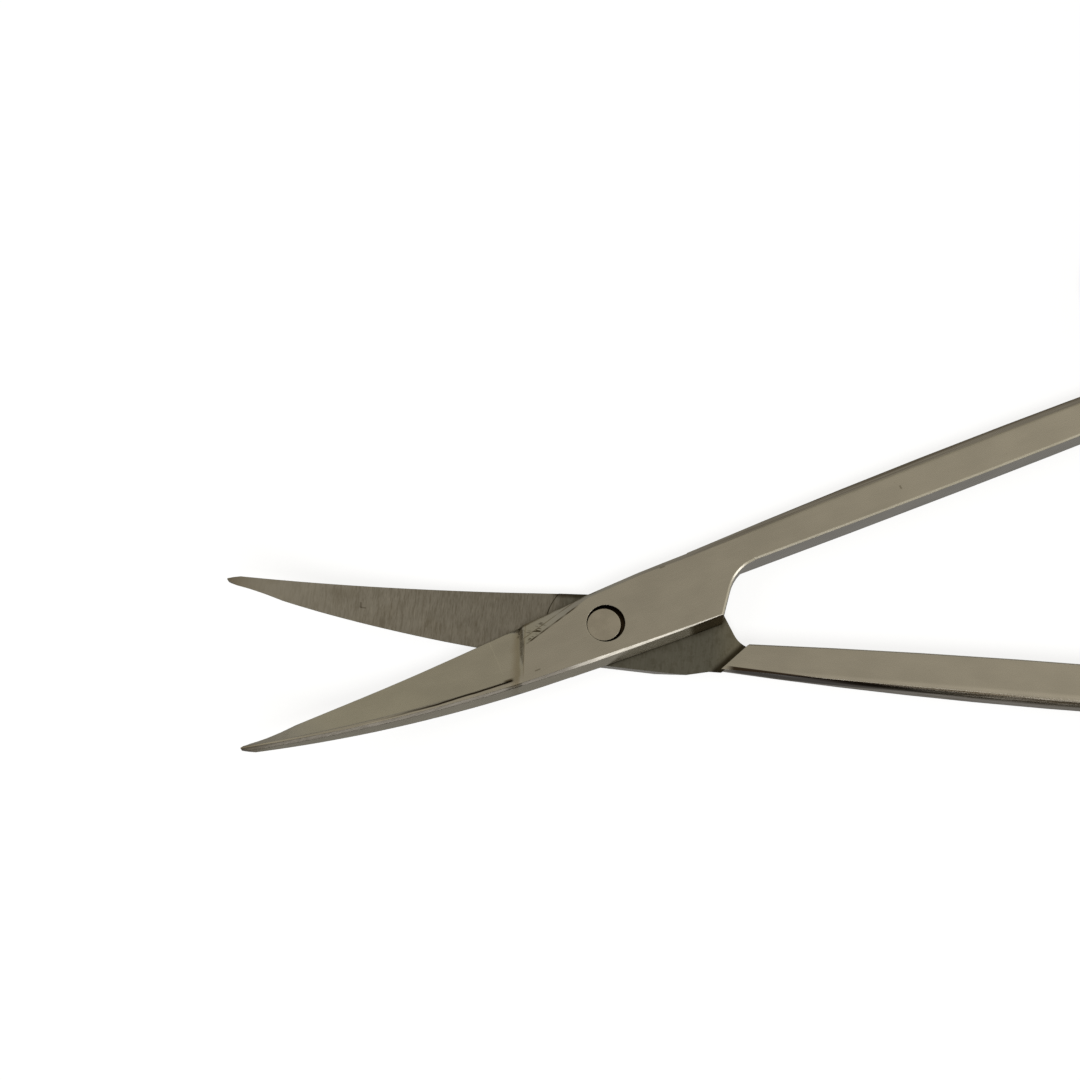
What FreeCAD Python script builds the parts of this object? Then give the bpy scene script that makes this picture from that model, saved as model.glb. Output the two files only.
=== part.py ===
import FreeCAD, Part
import Sketcher
import os

# Curved dissecting scissors: two forged halves with a lap joint, held by one slotted pivot screw.
# Millimetres. Each half is drawn closed, with the handles towards +X and the ride face of its joint at the
# height of the half's own plane Z = 0. The finished part stands with its underside on Z = 0 and the pivot
# axis on the Z axis. Both blades bend upwards.

SIZES = (
    ("open_angle", 27.4, "angle between the two halves as they lie"),
    ("blade_length", 38.0, "pivot axis to blade tip"),
    ("joint_thickness", 1.6, "thickness of each half in the lap joint"),
    ("ride_gap", 0.06, "running gap between the two ride faces"),
    ("bend_start", 8.4, "distance from the pivot at which the blades start to bend"),
    ("bend_radius", 68.8, "radius of the bend"),
    ("tip_thickness", 0.75, "blade thickness at the tip"),
    ("spine_width", 3.74, "pivot axis to the spine, beside the pivot"),
    ("edge_width", 3.84, "pivot axis to the edge side, beside the pivot"),
    ("tip_width", 0.42, "centre line to each side at the tip"),
    ("side_radius", 418.0, "radius of the blade's two long sides"),
    ("spine_draft", 0.31, "sideways slope of the spine wall"),
    ("edge_draft", 0.05, "sideways slope of the joint's other wall"),
    ("nose_length", 1.4, "length of the pointed nose at the tip"),
    ("nose_radius", 8.0, "roundness of the nose's sides"),
    ("nose_flat", 0.06, "centre line to each corner of the blunted point"),
    ("land_heel", 0.7, "flat left along the spine by the grinding, at the heel"),
    ("land_tip", 0.3, "the same, at the tip"),
    ("edge_thickness", 0.06, "thickness left at the cutting edge"),
    ("bevel_start", 10.9, "distance from the pivot at which the ground bevel has its full depth all across"),
    ("heel_place", 8.75, "distance from the pivot of the line where the ground bevel begins, at mid-width"),
    ("heel_skew", 0.43, "slant of that line, along the blade per length across it"),
    ("bevel_runout", 0.75, "length of the hollow slope from that line down to the ground bevel"),
    ("lip_width", 0.12, "width of the steep lip along the ground bevel's shoulder"),
    ("lip_height", 0.12, "height of that lip"),
    ("relief_start", 6.1, "distance from the pivot at which the blades' inner faces are relieved"),
    ("relief", 0.04, "depth of that relief"),
    ("spine_bevel_width", 0.17, "width of the bevel along the spine and the joint's side"),
    ("spine_bevel_height", 0.2, "height of that bevel"),
    ("shoulder_bevel", 0.2, "bevel of the shoulder and of the hollow behind it"),
    ("joint_rear", 12.0, "distance from the pivot to the shoulder's corner"),
    ("shoulder_depth", 3.24, "centre line to the shoulder's corner"),
    ("shoulder_run", 1.5, "length of the shoulder's straight, along the handles"),
    ("shoulder_rise", 2.0, "length of the shoulder's straight, across the handles"),
    ("shoulder_radius", 4.4, "hollow between shoulder and shank"),
    ("lower_setback", 0.3, "how much nearer the pivot the lower half's shoulder is"),
    ("lower_shoulder_run", 1.6, "length of the lower shoulder's straight, along the handles"),
    ("lower_shoulder_rise", 2.75, "length of the lower shoulder's straight, across the handles"),
    ("lower_shoulder_radius", 2.6, "hollow between the lower shoulder and its shank"),
    ("step_near", 12.1, "distance from the pivot to the step's outer end"),
    ("step_far", 14.9, "distance from the pivot to the step's inner end"),
    ("step_near_offset", 3.75, "centre line to the step's outer end"),
    ("step_far_offset", 0.7, "centre line to the step's inner end"),
    ("step_fillet", 0.6, "hollow at the foot of the step"),
    ("shank_start", 11.0, "distance from the pivot to the shank's hidden root"),
    ("shank_middle", 27.0, "distance from the pivot to the shank's widest place"),
    ("shank_end", 61.0, "distance from the pivot to where the shank runs into the ring"),
    ("upper_inner_start", 0.7, "centre line to the upper shank's inner side, at its root"),
    ("lower_inner_start", 0.95, "centre line to the lower shank's inner side, at its root"),
    ("inner_middle", 0.38, "the same, at the widest place"),
    ("inner_end", 0.14, "the same, at the ring"),
    ("upper_outer_start", 4.25, "centre line to the upper shank's outer ridge, at its root"),
    ("upper_outer_middle", 4.58, "the same, at the widest place"),
    ("upper_outer_end", 4.36, "the same, at the ring"),
    ("lower_outer_start", 3.25, "centre line to the lower shank's outer ridge, at its root"),
    ("lower_outer_middle", 4.08, "the same, at the widest place"),
    ("lower_outer_end", 4.2, "the same, at the ring"),
    ("ridge_height", 0.5, "outer ridge above the half's plane, towards its outer face"),
    ("face_bevel_start", 0.85, "width of the bevel from the ridge to the outer face, at the root"),
    ("face_bevel", 1.05, "the same, from the widest place on"),
    ("back_height", 0.95, "second ridge below the half's plane, towards the back face"),
    ("back_bevel", 0.22, "width of the bevel between the second ridge and the back face"),
    ("lower_back_start", -0.42, "the same at the lower shank's root, where it is undercut"),
    ("inner_bevel", 0.2, "bevel along the shank's inner side"),
    ("lower_corner", 10.95, "distance from the pivot at which the lower joint's rear corner starts"),
    ("corner_length", 1.55, "length of that rounded corner"),
    ("corner_radius", 3.2, "rounding of that corner"),
    ("ring_start", 62.0, "distance from the pivot to the finger ring"),
    ("ring_length", 27.0, "outside length of the finger ring"),
    ("ring_width", 22.5, "outside width of the finger ring"),
    ("ring_bar", 2.9, "width of the bar that forms the ring"),
    ("ring_end_radius", 8.5, "radius of the ring bar's middle line at the ring's two ends"),
    ("ring_corner", 1.2, "size of the bar's bulged bevels"),
    ("ring_bulge_radius", 2.5, "radius of the bulge of those bevels"),
    ("ring_height", 3.1, "height of the bar that forms the ring"),
    ("crotch_start", 4.4, "how far before the ring the hollow between shank and ring starts"),
    ("crotch_rise", 3.6, "height of that hollow above the shank's ridge"),
    ("crotch_radius", 5.0, "radius of that hollow"),
    ("crotch_end", 4.4, "how far past the ring's start the metal of that hollow reaches, inside the bar"),
    ("crotch_height", 2.0, "height of the metal that fills it"),
    ("screw_radius", 1.7, "radius of the pivot screw's shank and of its plain end"),
    ("screw_clearance", 0.03, "radial running clearance round the screw in the lower half"),
    ("recess_radius", 1.98, "radius of the recess round the screw's plain end"),
    ("recess_depth", 1.0, "depth of that recess"),
    ("recess_shift", 0.24, "sideways shift of the recess from the pivot axis"),
    ("end_sink", 0.04, "how far the plain end lies below the upper half's face"),
    ("head_radius", 2.35, "radius of the screw's slotted head"),
    ("head_height", 0.75, "height of the head"),
    ("head_clearance", 0.05, "clearance round and under the head"),
    ("head_sink", 0.05, "how far the head lies inside the lower half's underside"),
    ("slot_width", 0.65, "width of the driver slot"),
    ("slot_depth", 0.4, "depth of the driver slot"),
    ("joint_bevel_width", 0.55, "width of the joint's bevel along the edge side"),
    ("joint_bevel_height", 0.63, "height of the same bevel"),
    ("wedge_start", 0.4, "distance from the pivot at which that bevel starts to widen"),
    ("wedge_end", 8.0, "distance from the pivot at which it is widest"),
    ("wedge_width", 2.3, "width of the bevel at its widest"),
    ("wedge_height", 1.0, "height of the bevel at its widest"),
)

OVERRUN = 0.5  # what the blanks stand proud of the faces that are then cut
BEYOND = 6.0  # reach of a cut past the solid
BURIED = 0.04  # how far a feature that only joins two others lies inside them
WEB_ROOT = 0.6  # how far the shoulder's web reaches into the metal round it
RUNOUT_PROFILE = ((0.0, 0.02), (0.3, 0.5), (0.65, 0.85), (1.0, 1.0))  # place, share of depth
BLADE_STATIONS = 4  # cross-sections between the bend's start and the tip
BLANK_PAST = 2.0  # how far the blank runs past the joint's rear end, into the shank
NEAR_TRIM = 1.5  # how far the step's hollow stops short of its outer end, as a share of the hollow's size
FAR_TRIM = 0.75  # the same, at its inner end
NOSE_SPREAD = 1.5  # the nose's root, as a share of the tip's width


class Dim:
    """A length that is known both as a number and as a formula of the sheet's cells."""

    def __init__(self, number, text):
        self.number = number
        self.text = text

    def __add__(self, other):
        other = dim(other)
        return Dim(self.number + other.number, f"({self.text} + {other.text})")

    def __sub__(self, other):
        other = dim(other)
        return Dim(self.number - other.number, f"({self.text} - {other.text})")

    def __mul__(self, other):
        other = dim(other)
        return Dim(self.number * other.number, f"({self.text} * {other.text})")

    def __truediv__(self, other):
        other = dim(other)
        return Dim(self.number / other.number, f"({self.text} / {other.text})")

    def __radd__(self, other):
        return dim(other) + self

    def __rsub__(self, other):
        return dim(other) - self

    def __rmul__(self, other):
        return dim(other) * self

    def __neg__(self):
        return self * -1

    def root(self):
        return Dim(self.number**0.5, f"sqrt({self.text})")


def dim(value):
    return value if isinstance(value, Dim) else Dim(float(value), f"({float(value)})")


doc = FreeCAD.newDocument("scissors")
sheet = doc.addObject("Spreadsheet::Sheet", "sizes")
for row, (alias, number, meaning) in enumerate(SIZES, start=1):
    sheet.set(f"A{row}", meaning)
    sheet.set(f"B{row}", str(number))
    sheet.setAlias(f"B{row}", alias)
doc.recompute()


class Sizes:
    """The sheet's cells, as lengths that can be calculated with."""

    def __getattr__(self, alias):
        return Dim(float(sheet.get(alias)), f"sizes.{alias}")


size = Sizes()


def origin_plane(body, role):
    return next(plane for plane in body.Origin.OriginFeatures if plane.Role == role)


def new_sketch(body, name, role, offset=None):
    """A sketch on one of the body's origin planes, moved along the plane's normal by offset."""
    sketch = body.newObject("Sketcher::SketchObject", name)
    sketch.AttachmentSupport = [(origin_plane(body, role), "")]
    sketch.MapMode = "FlatFace"
    if offset is not None:
        sketch.setExpression("AttachmentOffset.Base.z", offset.text)
    return sketch


def hold(sketch, kind, place, value):
    """Ties one coordinate of a sketch point to a formula."""
    item, end = place
    index = sketch.addConstraint(Sketcher.Constraint(kind, -1, 1, item, end, value.number))
    sketch.setExpression(f"Constraints[{index}]", value.text)


def hold_point(sketch, place, x, y):
    hold(sketch, "DistanceX", place, x)
    hold(sketch, "DistanceY", place, y)


def vector(x, y):
    return FreeCAD.Vector(x.number, y.number, 0)


def arc_between(start, end, radius, turn):
    """The arc of under half a circle from start to end. Turn is 1 to the left, -1 to the right."""
    chord = end - start
    middle = (start + end) / 2
    left = FreeCAD.Vector(-chord.y, chord.x, 0).normalize()
    centre = middle + left * turn * (radius**2 - (chord.Length / 2) ** 2) ** 0.5
    bulge = middle - left * turn * (radius - (middle - centre).Length)
    return Part.Arc(start, bulge, end), centre


def draw_outline(sketch, corners):
    """A closed outline. A corner is x and y, and its radius and turn where an arc leads to the next one."""
    corners = [(dim(corner[0]), dim(corner[1]), *corner[2:]) for corner in corners]
    points = [vector(*corner[:2]) for corner in corners]
    ends = []
    for item, corner in enumerate(corners):
        start, end = points[item], points[(item + 1) % len(points)]
        if len(corner) == 2:
            sketch.addGeometry(Part.LineSegment(start, end))
            ends.append((1, 2))
        else:
            arc, centre = arc_between(start, end, corner[2].number, corner[3])
            sketch.addGeometry(arc)
            ends.append((1, 2) if corner[3] > 0 else (2, 1))
            index = sketch.addConstraint(Sketcher.Constraint("Radius", item, corner[2].number))
            sketch.setExpression(f"Constraints[{index}]", corner[2].text)
    for item in range(len(corners)):
        after = (item + 1) % len(corners)
        sketch.addConstraint(Sketcher.Constraint("Coincident", item, ends[item][1], after, ends[after][0]))
    for item, corner in enumerate(corners):
        hold_point(sketch, (item, ends[item][0]), corner[0], corner[1])


def handed(corners, hand, across=1):
    """The outline, or for the lower half its mirror image. across is the coordinate that is turned round."""
    turned = []
    for corner in corners:
        place = [dim(corner[0]), dim(corner[1])]
        place[across] = place[across] * hand
        curve = (corner[2], corner[3] * hand) if len(corner) == 4 else ()
        turned.append((*place, *curve))
    return turned


def draw_circle(sketch, x, y, radius):
    x, y = dim(x), dim(y)
    item = sketch.addGeometry(Part.Circle(vector(x, y), FreeCAD.Vector(0, 0, 1), radius.number))
    hold_point(sketch, (item, 3), x, y)
    index = sketch.addConstraint(Sketcher.Constraint("Radius", item, radius.number))
    sketch.setExpression(f"Constraints[{index}]", radius.text)


def along(sketch, feature, low, high):
    """Sets a pad or pocket, drawn on the XY plane, to reach from one height to another."""
    sketch.setExpression("AttachmentOffset.Base.z", low.text)
    feature.setExpression("Length", (high - low).text)
    feature.Reversed = feature.TypeId == "PartDesign::Pocket"


def pad(body, name, low, high, draw):
    sketch = new_sketch(body, name + "_sketch", "XY_Plane")
    draw(sketch)
    feature = body.newObject("PartDesign::Pad", name)
    feature.Profile = sketch
    along(sketch, feature, low, high)
    return feature


def pocket(body, name, low, high, draw):
    sketch = new_sketch(body, name + "_sketch", "XY_Plane")
    draw(sketch)
    feature = body.newObject("PartDesign::Pocket", name)
    feature.Profile = sketch
    along(sketch, feature, low, high)
    return feature


def turn_sketch(sketch, direction, angle):
    """Turns a sketch by a formula's angle about the upright of its plane."""
    turn = FreeCAD.Rotation(FreeCAD.Vector(0, direction, 0), 45)
    sketch.AttachmentOffset = FreeCAD.Placement(FreeCAD.Vector(), turn)
    sketch.setExpression("AttachmentOffset.Rotation.Angle", angle)


def loft(body, kind, name, sections, role="YZ_Plane", skews=()):
    """A loft through outlines, each given as its distance from the plane and its corners.

    A section may be turned about its upright by a slant, a length along per length across.
    """
    sketches = []
    for index, (station, corners) in enumerate(sections):
        sketch = new_sketch(body, f"{name}_section_{index}", role, station)
        if index < len(skews):
            direction, skew = skews[index]
            turn_sketch(sketch, direction, f"atan({skew.text})")
        draw_outline(sketch, corners)
        sketches.append(sketch)
    feature = body.newObject(kind, name)
    feature.Profile = sketches[0]
    feature.Sections = sketches[1:]
    return feature


def groove(body, name, draw):
    """Takes a profile out of the blade's half of the space, turned about the pivot axis."""
    sketch = new_sketch(body, name + "_sketch", "XZ_Plane")
    draw(sketch)
    feature = body.newObject("PartDesign::Groove", name)
    feature.Profile = sketch
    feature.ReferenceAxis = (sketch, ["V_Axis"])
    feature.Angle = 180
    feature.Midplane = True
    return feature


def bend(x, y=0):
    """Height of the surface between the blades, which is turned about the pivot axis."""
    x, y = dim(x), dim(y)
    past = (x * x + y * y).root() - size.bend_start
    if past.number <= 0:
        return dim(0)
    return size.bend_radius - (size.bend_radius * size.bend_radius - past * past).root()


def side(width, x):
    """Distance of a long side from the centre line at x: an arc from the tip past the pivot."""
    back = -x / size.blade_length
    straight = width + (size.tip_width - width) * back
    return straight + (-x) * (size.blade_length + x) / (size.side_radius * 2)


def blade_thickness(x):
    """Full at the bend's start, thinner towards the tip."""
    past = (-x - size.bend_start) / (size.blade_length - size.bend_start)
    if past.number < 0:
        return size.joint_thickness
    return size.joint_thickness - (size.joint_thickness - size.tip_thickness) * past * past


def blade_stations(first):
    """Distances along X from first to the tip."""
    step = (size.blade_length - first) / BLADE_STATIONS
    return [-(first + step * index) for index in range(BLADE_STATIONS + 1)]


def make_half(name, hand, inner_start, outer, back_start, corner_start, shoulder):
    """One forging. hand is 1 for the upper half and -1 for the lower one, its outer face down."""
    body = doc.addObject("PartDesign::Body", name)
    body.Label = name
    outer_start, outer_middle, outer_end = outer
    corner_x, shoulder_run, shoulder_rise, shoulder_radius = shoulder
    half_gap = size.ride_gap / 2
    ride = half_gap
    face = half_gap + size.joint_thickness
    ring_x = size.ring_start + size.ring_length / 2
    ring_y = size.inner_end + size.ring_width / 2

    def at(y, height, lift=None):
        """A point of a cross-section: y towards the shank's side, height towards the outer face."""
        z = dim(height) * hand
        return dim(y) * hand, z + lift if lift is not None else z

    def blank_section(x):
        low, high = dim(-OVERRUN), face + OVERRUN
        spine, edge = side(size.spine_width, x), side(size.edge_width, x)
        lift = bend(x)
        corners = [
            at(-(spine - size.spine_draft * low), low, lift),
            at(edge - size.edge_draft * low, low, lift),
            at(edge - size.edge_draft * high, high, lift),
            at(-(spine - size.spine_draft * high), high, lift),
        ]
        return x, corners

    blank_stations = [size.joint_rear + BLANK_PAST, dim(0)] + blade_stations(size.bend_start)
    loft(body, "PartDesign::AdditiveLoft", name + "_blank", [blank_section(x) for x in blank_stations])

    def heights(low, high):
        """Heights above the half's plane, in the order that the hand turns them."""
        return (low, high) if hand > 0 else (-high, -low)

    def joint_bevel_section(x, top_y, bottom_y, bottom_height):
        """The space over the bevel, from its edge in the outer face to its edge in the wall."""
        slope = (face - bottom_height) / (bottom_y - top_y)
        corners = [
            at(top_y, face),
            at(bottom_y + BEYOND / 2, bottom_height - slope * (BEYOND / 2)),
            at(bottom_y + BEYOND / 2, face + OVERRUN * 2),
            at(top_y - dim(OVERRUN * 2) / slope, face + OVERRUN * 2),
        ]
        return x, corners

    def joint_bevel_at(x, width, height):
        wall = side(size.edge_width, x)
        return joint_bevel_section(x, wall - width, wall, face - height)

    bevel_root = size.joint_rear + BLANK_PAST + OVERRUN * 2
    bevel_top = outer_start - size.face_bevel_start
    joint_bevels = [
        joint_bevel_section(bevel_root, bevel_top - BURIED, outer_start - BURIED, size.ridge_height),
        joint_bevel_section(size.shank_start, bevel_top, outer_start, size.ridge_height),
        joint_bevel_at(size.shank_start / 2, size.joint_bevel_width, size.joint_bevel_height),
        joint_bevel_at(-size.wedge_start, size.joint_bevel_width, size.joint_bevel_height),
        joint_bevel_at(-size.wedge_end, size.wedge_width, size.wedge_height),
        joint_bevel_at(-size.heel_place - OVERRUN, size.wedge_width, size.wedge_height),
    ]
    loft(body, "PartDesign::SubtractiveLoft", name + "_joint_bevel", joint_bevels).Ruled = True

    def draw_corner(sketch):
        """The space that the blank leaves to the shank, with the joint's rounded rear corner."""
        start, end = corner_start, corner_start + size.corner_length
        wall = side(size.edge_width, start) + OVERRUN / 4
        low, inside = outer_start, outer_start - OVERRUN
        far = size.joint_rear + BEYOND
        corners = [
            (start, dim(BEYOND)),
            (start, wall, size.corner_radius, -1),
            (end, low),
            (end + OVERRUN, inside),
            (far, inside),
            (far, dim(BEYOND)),
        ]
        draw_outline(sketch, handed(corners, hand))

    low, high = heights(-OVERRUN * 2 - size.ride_gap, face + OVERRUN * 2)
    pocket(body, name + "_corner", low, high, draw_corner)

    def shank_section(x, inner, outer, face_bevel, back_bevel):
        high = face + OVERRUN
        face_slope = face_bevel / (face - size.ridge_height)
        back_slope = back_bevel / (face - size.back_height)
        corners = [
            at(inner, size.inner_bevel - face),
            at(inner, face - size.inner_bevel),
            at(inner + size.inner_bevel + OVERRUN, high),
            at(outer - face_slope * (high - size.ridge_height), high),
            at(outer, size.ridge_height),
            at(outer, -size.back_height),
            at(outer - back_slope * (high - size.back_height), -high),
            at(inner + size.inner_bevel + OVERRUN, -high),
        ]
        return x, corners

    end_section = shank_section(
        size.shank_end, size.inner_end, outer_end, size.face_bevel, size.back_bevel
    )
    shank_sections = [
        shank_section(size.shank_start, inner_start, outer_start, size.face_bevel_start, back_start),
        shank_section(
            size.shank_middle, size.inner_middle, outer_middle, size.face_bevel, size.back_bevel
        ),
        end_section,
    ]
    loft(body, "PartDesign::AdditiveLoft", name + "_shank", shank_sections)

    def ring_section(x):
        """The same eight corners inside the ring's bar."""
        near, far = size.inner_end + BURIED, size.inner_end + size.ring_bar - BURIED
        tall, flat = size.ring_height / 2 - BURIED, size.ring_height / 2 - size.ring_corner
        corners = [
            at(near, -flat),
            at(near, flat),
            at(near + size.ring_corner, tall),
            at(far - size.ring_corner, tall),
            at(far, flat),
            at(far, -flat),
            at(far - size.ring_corner, -tall),
            at(near + size.ring_corner, -tall),
        ]
        return x, corners

    loft(body, "PartDesign::AdditiveLoft", name + "_neck", [end_section, ring_section(ring_x)])

    turn_x = corner_x + shoulder_run
    turn_y = shoulder_rise - size.shoulder_depth
    slope_length = (shoulder_run * shoulder_run + shoulder_rise * shoulder_rise).root()
    run_share, rise_share = shoulder_run / slope_length, shoulder_rise / slope_length

    def draw_shoulder_cut(sketch):
        start = corner_x - shoulder_run, -size.shoulder_depth - shoulder_rise
        end = turn_x + shoulder_run / 2, turn_y + shoulder_rise / 2
        far = size.joint_rear + BEYOND
        corners = [start, end, (far, end[1]), (far, start[1])]
        draw_outline(sketch, handed(corners, hand))

    low, high = heights(-OVERRUN * 2 - size.ride_gap, face + OVERRUN * 2)
    pocket(body, name + "_shoulder_cut", low, high, draw_shoulder_cut)

    def draw_shoulder_web(sketch):
        top_x = turn_x + shoulder_radius * rise_share
        top_y = turn_y + shoulder_radius * (1 - run_share)
        root_x = turn_x - WEB_ROOT
        corners = [
            (turn_x, turn_y, shoulder_radius, -1),
            (top_x, top_y),
            (top_x, top_y + WEB_ROOT),
            (root_x, top_y + WEB_ROOT),
            (root_x, turn_y - shoulder_rise / shoulder_run * WEB_ROOT),
        ]
        draw_outline(sketch, handed(corners, hand))

    low, high = heights(dim(0), face)
    pad(body, name + "_shoulder_web", low, high, draw_shoulder_web)

    def draw_ride(sketch):
        corners = [
            (dim(-OVERRUN * 2), dim(-BEYOND)),
            (size.step_far + (size.step_far - size.step_near), dim(-BEYOND)),
            (size.step_far, size.step_far_offset),
            (size.step_near, size.step_near_offset),
            (size.step_near, dim(BEYOND)),
            (dim(-OVERRUN * 2), dim(BEYOND)),
        ]
        draw_outline(sketch, handed(corners, hand))

    low, high = heights(-face - OVERRUN * 2, ride)
    pocket(body, name + "_ride_face", low, high, draw_ride)

    across = size.step_far - size.step_near
    down = size.step_near_offset - size.step_far_offset
    step_length = (across * across + down * down).root()
    near_trim, far_trim = size.step_fillet * NEAR_TRIM, size.step_fillet * FAR_TRIM
    start_x = size.step_near + across * near_trim / step_length
    start_y = size.step_near_offset - down * near_trim / step_length
    sketch = new_sketch(body, name + "_step_fillet_sketch", "XZ_Plane")
    turn_sketch(sketch, hand, f"atan({across.text} / {down.text})")
    sketch.setExpression("AttachmentOffset.Base.x", start_x.text)
    sketch.setExpression("AttachmentOffset.Base.z", (start_y * -hand).text)
    foot, root = ride * hand, (ride - size.step_fillet) * hand
    corners = [
        (-size.step_fillet, foot, size.step_fillet, -hand),
        (dim(0), root),
        (dim(BURIED), root),
        (dim(BURIED), foot + dim(BURIED) * hand),
        (-size.step_fillet, foot + dim(BURIED) * hand),
    ]
    draw_outline(sketch, corners)
    step_fillet = body.newObject("PartDesign::Pad", name + "_step_fillet")
    step_fillet.Profile = sketch
    step_fillet.setExpression("Length", (step_length - near_trim - far_trim).text)
    step_fillet.Reversed = hand < 0

    def draw_slab(sketch):
        near, far, wide = -OVERRUN * 2, ring_x + BEYOND, BEYOND * 2
        draw_outline(sketch, [(near, -wide), (far, -wide), (far, wide), (near, wide)])

    low, high = heights(face, face + OVERRUN * 2)
    pocket(body, name + "_outer_face", low, high, draw_slab)
    low, high = heights(-face - OVERRUN * 2, -face)
    pocket(body, name + "_back_face", low, high, draw_slab)

    def shoulder_bevel_section(rise):
        """The shoulder, the hollow behind it and the inner side, moved into the metal by rise."""
        start_x = corner_x - shoulder_run - rise_share * rise
        start_y = -size.shoulder_depth - shoulder_rise + run_share * rise
        top_x = turn_x + shoulder_radius * rise_share
        top_y = turn_y + shoulder_radius * (1 - run_share) + rise
        corners = [
            (start_x, start_y),
            (turn_x - rise_share * rise, turn_y + run_share * rise, shoulder_radius + rise, -1),
            (top_x, top_y),
            (top_x + OVERRUN, top_y),
            (top_x + OVERRUN, start_y),
        ]
        return (face - size.shoulder_bevel + rise) * hand, handed(corners, hand)

    bevel_sections = [shoulder_bevel_section(dim(0)), shoulder_bevel_section(size.shoulder_bevel * 2)]
    loft(body, "PartDesign::SubtractiveLoft", name + "_shoulder_bevel", bevel_sections, "XY_Plane")

    inner_height = half_gap + size.relief
    run = size.blade_length - size.bend_start
    sky = dim(BEYOND * 3) * hand

    def draw_bent(sketch, flat, height, tip_height, away):
        """The flat corners, then an arc that starts at height and passes tip_height, and all beyond them."""
        rise = tip_height - height
        radius = (run * run + rise * rise) / (rise * 2)
        past = run + OVERRUN * 2
        end_height = height + radius - (radius * radius - past * past).root()
        corners = flat + [
            (-size.bend_start, height, radius, -1),
            (-size.bend_start - past, end_height),
            (-size.bend_start - past, away),
            (dim(0), away),
        ]
        draw_outline(sketch, corners)

    tip_rise = bend(-size.blade_length)
    inner_flat = [
        (dim(0), ride * hand),
        (-size.relief_start, ride * hand),
        (-size.relief_start, inner_height * hand),
    ]
    inner_tip = tip_rise + inner_height * hand
    outer_tip = tip_rise + (half_gap + size.tip_thickness) * hand
    groove(
        body, name + "_inner_bend", lambda s: draw_bent(s, inner_flat, inner_height * hand, inner_tip, -sky)
    )
    outer_flat = [(dim(0), face * hand)]
    groove(body, name + "_outer_bend", lambda s: draw_bent(s, outer_flat, face * hand, outer_tip, sky))

    def spine_bevel_section(x):
        """The space over the bevel along the spine, at a station of the blank."""
        top_height = half_gap + blade_thickness(x)
        edge = -(side(size.spine_width, x) - size.spine_draft * top_height)
        top = bend(x, edge) + top_height * hand
        wide, tall = size.spine_bevel_width, size.spine_bevel_height * hand
        corners = [
            ((edge + wide * 2) * hand, top + tall),
            ((edge - wide) * hand, top - tall * 2),
            ((edge - wide * 3) * hand, top + tall),
        ]
        return x, corners

    loft(
        body,
        "PartDesign::SubtractiveLoft",
        name + "_spine_bevel",
        [spine_bevel_section(x) for x in blank_stations],
    )

    def bevel_section(x, share=dim(1), skew=dim(0)):
        """The space over the ground bevel, at a share of its full depth, on a plane that may slant."""
        stretch = (skew * skew + 1).root()
        shoulder_x = x - skew * (size.spine_width - size.land_heel)
        edge_x = x + skew * size.edge_width
        spine, edge = side(size.spine_width, shoulder_x), side(size.edge_width, edge_x)
        thickness = blade_thickness(shoulder_x)
        back = (-shoulder_x - size.bevel_start) / (size.blade_length - size.bevel_start)
        land = size.land_heel + (size.land_tip - size.land_heel) * back
        shoulder = -(spine - size.spine_draft * thickness - land)
        top = bend(shoulder_x, shoulder) + (half_gap + thickness) * hand
        bottom = bend(edge_x, edge) + (inner_height + size.edge_thickness) * hand
        lip = top - size.lip_height * hand * share
        drop = (lip - (top + (bottom - top) * share)) / (edge - shoulder - size.lip_width)
        beyond = edge + OVERRUN * 2
        clear = top + dim(OVERRUN * 4) * hand
        corners = [
            (shoulder, top),
            (shoulder + size.lip_width, lip),
            (beyond, lip - drop * (beyond - shoulder - size.lip_width)),
            (beyond, clear),
            (shoulder, clear),
        ]
        return x, [(y * stretch * hand, z) for y, z in corners]

    bevel_stations = blade_stations(size.bevel_start)
    loft(body, "PartDesign::SubtractiveLoft", name + "_bevel", [bevel_section(x) for x in bevel_stations])
    runout = [
        bevel_section(-size.heel_place - size.bevel_runout * back, dim(share), size.heel_skew)
        for back, share in RUNOUT_PROFILE
    ]
    slants = [(-hand, size.heel_skew)] * len(runout)
    runout += [bevel_section(-size.bevel_start), bevel_section(-size.bevel_start - OVERRUN)]
    loft(
        body, "PartDesign::SubtractiveLoft", name + "_runout", runout, skews=slants
    ).Ruled = True

    def draw_nose(sketch):
        """The tip's round end and the space round it."""
        root = -size.blade_length + size.nose_length
        half_chord = size.tip_width * NOSE_SPREAD
        corners = [
            (root, half_chord, size.nose_radius, 1),
            (-size.blade_length, size.nose_flat),
            (-size.blade_length, -size.nose_flat, size.nose_radius, 1),
            (root, -half_chord),
            (root, -half_chord * 3),
            (-size.blade_length - OVERRUN * 2, -half_chord * 3),
            (-size.blade_length - OVERRUN * 2, half_chord * 3),
            (root, half_chord * 3),
        ]
        draw_outline(sketch, corners)

    pocket(body, name + "_nose", dim(0), dim(BEYOND * 3), draw_nose)

    half_long = (size.ring_length - size.ring_bar) / 2
    half_wide = (size.ring_width - size.ring_bar) / 2
    end_reach = half_long - size.ring_end_radius
    side_radius = (
        end_reach * end_reach + half_wide * half_wide - size.ring_end_radius * size.ring_end_radius
    ) / ((half_wide - size.ring_end_radius) * 2)
    side_drop = side_radius - half_wide
    centres = (end_reach * end_reach + side_drop * side_drop).root()
    join_x = side_radius * end_reach / centres
    join_y = side_radius * side_drop / centres - side_drop

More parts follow.
